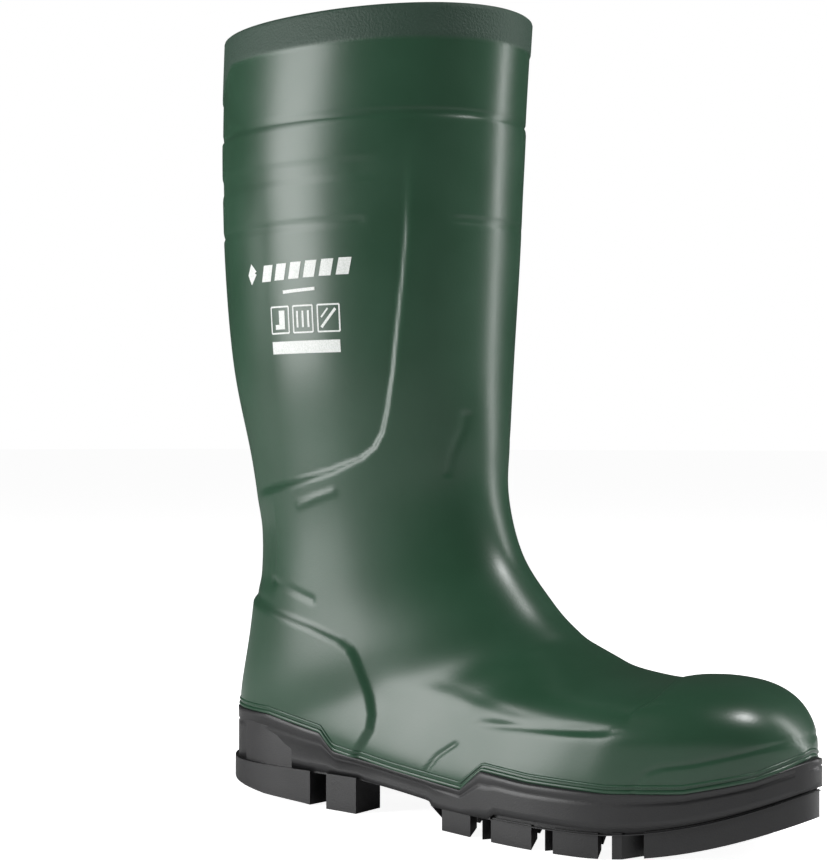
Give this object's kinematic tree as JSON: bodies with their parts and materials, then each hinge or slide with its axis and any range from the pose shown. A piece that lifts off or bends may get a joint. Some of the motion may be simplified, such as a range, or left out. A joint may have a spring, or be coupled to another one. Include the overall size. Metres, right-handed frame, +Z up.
{
  "type": "safety boot",
  "caption": "Right wellington safety boot with a moulded upper, lugged outsole, hidden steel toe cap and midsole plate, knitted lining and a loose footbed that lifts at the heel.",
  "frame": {"origin": "middle of the bottom of the boot's box, on the ground", "axes": "+Z up, +X towards the toe, +Y towards the inner side of the foot"},
  "size_m": [0.3264, 0.1221, 0.382],
  "materials": {
    "upper_pvc": "satin green soft PVC with a stippled rim band",
    "outsole_rubber": "satin black moulded rubber compound",
    "lining_knit": "grey knitted polyester",
    "cap_steel": "powder-coated pressed steel",
    "edge_strip": "soft black strip",
    "plate_steel": "thin stainless sheet",
    "board_fibre": "pressed fibre board",
    "footbed_foam": "closed-cell foam",
    "footbed_fabric": "fine knitted cloth"
  },
  "bodies": {
    "boot": {"upper_shell": "upper_pvc", "outsole": "outsole_rubber", "lining_sock": "lining_knit", "toe_cap": "cap_steel", "toe_cap_edge_strip": "edge_strip", "steel_midsole": "plate_steel", "insole_board": "board_fibre"},
    "footbed": {"footbed_foam": "footbed_foam", "footbed_cloth": "footbed_fabric"}
  },
  "joints": [
    {"name": "footbed_lift", "type": "hinge", "parent": "boot", "child": "footbed", "pos_m": [0.135, 0, 0.0335], "axis": [0, 1, 0], "range_deg": [0, 9]}
  ]
}
